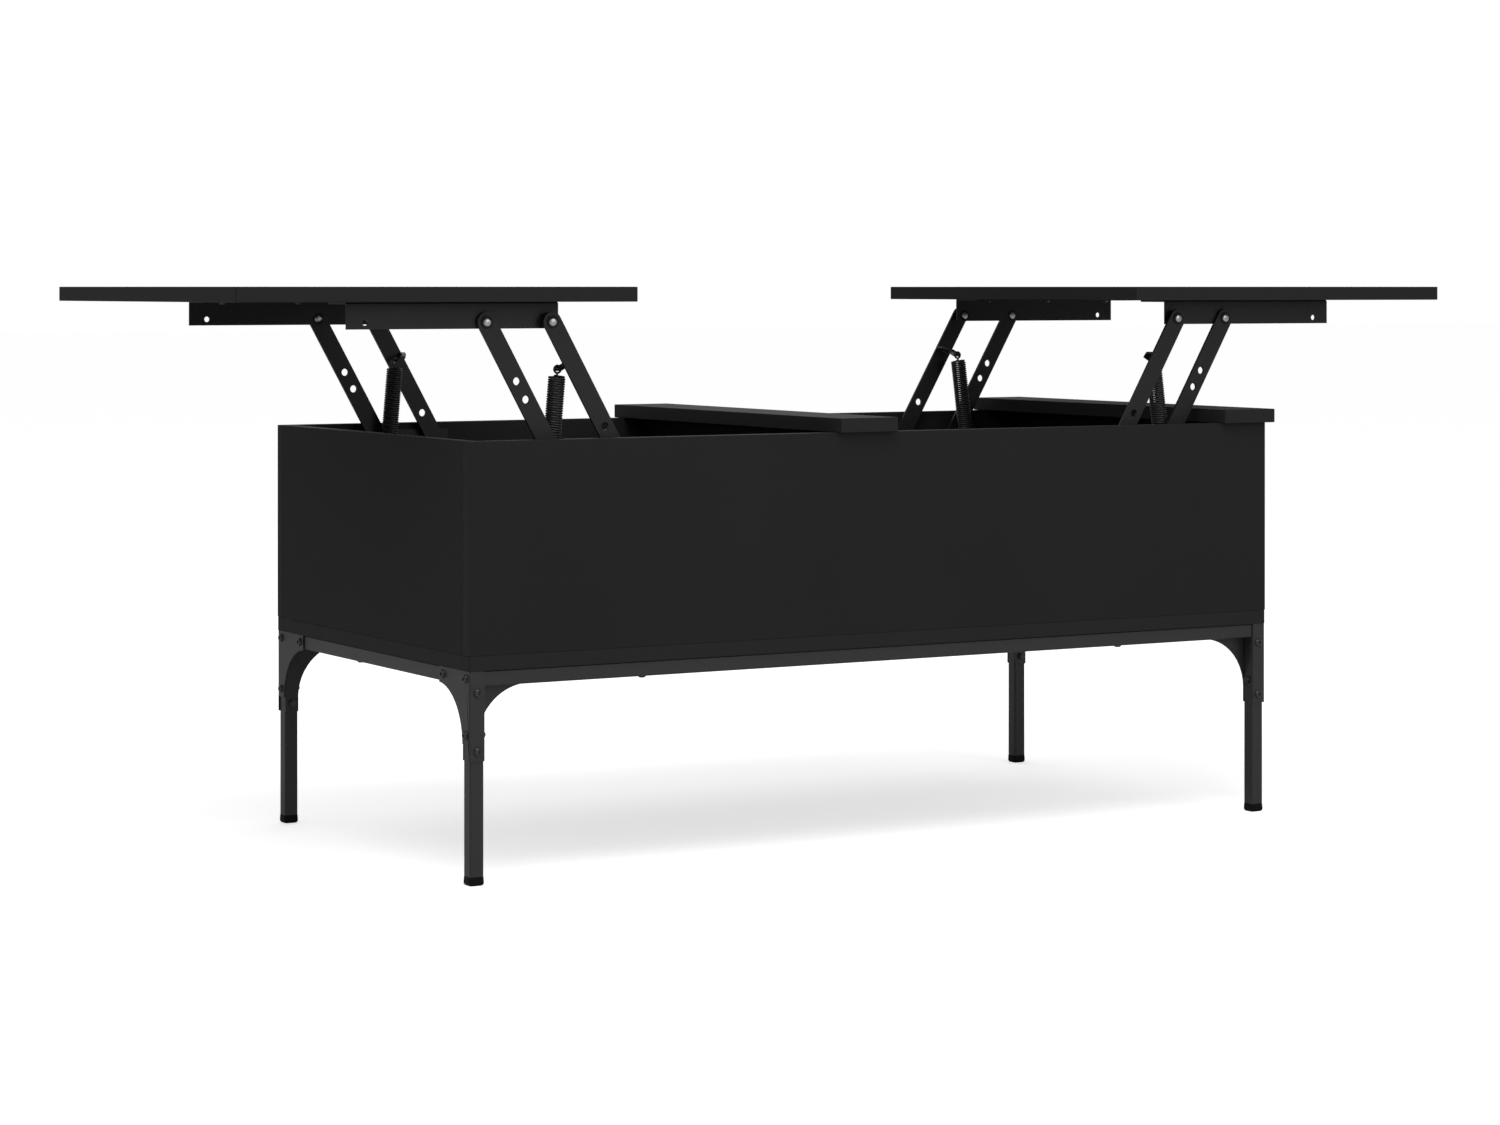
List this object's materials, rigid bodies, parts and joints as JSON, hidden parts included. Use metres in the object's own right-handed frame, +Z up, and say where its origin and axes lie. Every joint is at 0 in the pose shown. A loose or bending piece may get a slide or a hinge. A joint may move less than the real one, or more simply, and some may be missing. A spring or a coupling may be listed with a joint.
{
  "type": "double lift top coffee table",
  "caption": "Rectangular storage coffee table on thin square legs; both tabletop lids rise on folding spring arms and swing outwards to desk level, leaving fixed strips.",
  "frame": {"origin": "on the floor under the middle of the box", "axes": "+X along the table to the right, +Y from front to back, +Z up"},
  "size_m": [1.476, 0.5, 0.5863],
  "materials": {
    "board": "smooth matt black laminate on engineered wood, black edge band",
    "dowel": "plain beech, hidden",
    "frame_metal": "black powder coat, fine texture, low sheen",
    "mechanism": "black powder coat on flat steel",
    "pin": "blackened steel rivets with bright worn edges",
    "spring": "black coated spring wire, slight gloss",
    "fastener": "black zinc screws and bolts",
    "foot_plastic": "matt black plastic"
  },
  "bodies": {
    "table": {"base_board": "board", "front_panel": "board", "back_panel": "board", "left_panel": "board", "right_panel": "board", "centre_divider": "board", "centre_strip": "board", "right_strip": "board", "panel_dowels": "dowel", "base_plate_screws": "fastener", "board_screws": "fastener", "foot_caps": "foot_plastic", "frame_bolts": "fastener", "frame_nuts": "fastener", "front_left_leg": "frame_metal", "front_left_bracket": "frame_metal", "front_left_gusset": "frame_metal", "left_front_base_plate": "mechanism", "back_left_leg": "frame_metal", "back_left_bracket": "frame_metal", "back_left_gusset": "frame_metal", "left_back_base_plate": "mechanism", "left_apron_rail": "frame_metal", "left_base_pins": "pin", "front_right_leg": "frame_metal", "front_right_bracket": "frame_metal", "front_right_gusset": "frame_metal", "right_front_base_plate": "mechanism", "back_right_leg": "frame_metal", "back_right_bracket": "frame_metal", "back_right_gusset": "frame_metal", "right_back_base_plate": "mechanism", "right_apron_rail": "frame_metal", "right_base_pins": "pin", "front_apron_rail": "frame_metal", "back_apron_rail": "frame_metal"},
    "left_inner_arms": {"left_front_inner_arm": "mechanism", "left_back_inner_arm": "mechanism"},
    "left_outer_arms": {"left_front_outer_arm": "mechanism", "left_back_outer_arm": "mechanism"},
    "left_top": {"left_lid": "board", "left_lid_screws": "fastener", "left_front_lid_rail": "mechanism", "left_back_lid_rail": "mechanism", "left_lid_pins": "pin"},
    "left_springs": {"left_spring_coils": "spring"},
    "left_spring_hooks": {"left_spring_hooks": "spring"},
    "right_inner_arms": {"right_front_inner_arm": "mechanism", "right_back_inner_arm": "mechanism"},
    "right_outer_arms": {"right_front_outer_arm": "mechanism", "right_back_outer_arm": "mechanism"},
    "right_top": {"right_lid": "board", "right_lid_screws": "fastener", "right_front_lid_rail": "mechanism", "right_back_lid_rail": "mechanism", "right_lid_pins": "pin"},
    "right_springs": {"right_spring_coils": "spring"},
    "right_spring_hooks": {"right_spring_hooks": "spring"}
  },
  "joints": [
    {"name": "left_lift", "type": "hinge", "parent": "table", "child": "left_inner_arms", "pos_m": [-0.31056, 0, 0.41162], "axis": [0, 1, 0], "range_deg": [0, 117.88]},
    {"name": "left_lid_level", "type": "hinge", "parent": "left_inner_arms", "child": "left_top", "pos_m": [-0.3886, 0, 0.5513], "axis": [0, 1, 0], "range_deg": [-117.88, 0]},
    {"name": "left_outer_swing", "type": "hinge", "parent": "table", "child": "left_outer_arms", "pos_m": [-0.38056, 0, 0.41162], "axis": [0, 1, 0], "range_deg": [0, 117.88]},
    {"name": "left_spring_swing", "type": "hinge", "parent": "table", "child": "left_springs", "pos_m": [-0.38256, 0, 0.37962], "axis": [0, 1, 0], "range_deg": [0, 71.68]},
    {"name": "left_spring_stretch", "type": "slide", "parent": "left_springs", "child": "left_spring_hooks", "axis": [0.0859, 0, 0.9963], "range_m": [0, 0.06268], "deforming": ["left_spring_coils", "left_spring_hooks"]},
    {"name": "right_lift", "type": "hinge", "parent": "table", "child": "right_inner_arms", "pos_m": [0.28368, 0, 0.3717], "axis": [0, -1, 0], "range_deg": [0, 108.19]},
    {"name": "right_lid_level", "type": "hinge", "parent": "right_inner_arms", "child": "right_top", "pos_m": [0.3886, 0, 0.5513], "axis": [0, -1, 0], "range_deg": [-108.19, 0]},
    {"name": "right_outer_swing", "type": "hinge", "parent": "table", "child": "right_outer_arms", "pos_m": [0.35368, 0, 0.3717], "axis": [0, -1, 0], "range_deg": [0, 108.19]},
    {"name": "right_spring_swing", "type": "hinge", "parent": "table", "child": "right_springs", "pos_m": [0.39168, 0, 0.3397], "axis": [0, -1, 0], "range_deg": [0, 67.02]},
    {"name": "right_spring_stretch", "type": "slide", "parent": "right_springs", "child": "right_spring_hooks", "axis": [-0.1252, 0, 0.9921], "range_m": [0, 0.10559], "deforming": ["right_spring_coils", "right_spring_hooks"]}
  ],
  "couplings": [
    {"joint": "left_lid_level", "follows": "left_lift", "ratio": -1},
    {"joint": "left_outer_swing", "follows": "left_lift", "ratio": 1},
    {"joint": "left_spring_swing", "follows": "left_lift", "ratio": 0.60799},
    {"joint": "left_spring_stretch", "follows": "left_lift", "m_per_rad": 0.03046},
    {"joint": "right_lid_level", "follows": "right_lift", "ratio": -1},
    {"joint": "right_outer_swing", "follows": "right_lift", "ratio": 1},
    {"joint": "right_spring_swing", "follows": "right_lift", "ratio": 0.61937},
    {"joint": "right_spring_stretch", "follows": "right_lift", "m_per_rad": 0.055913}
  ]
}
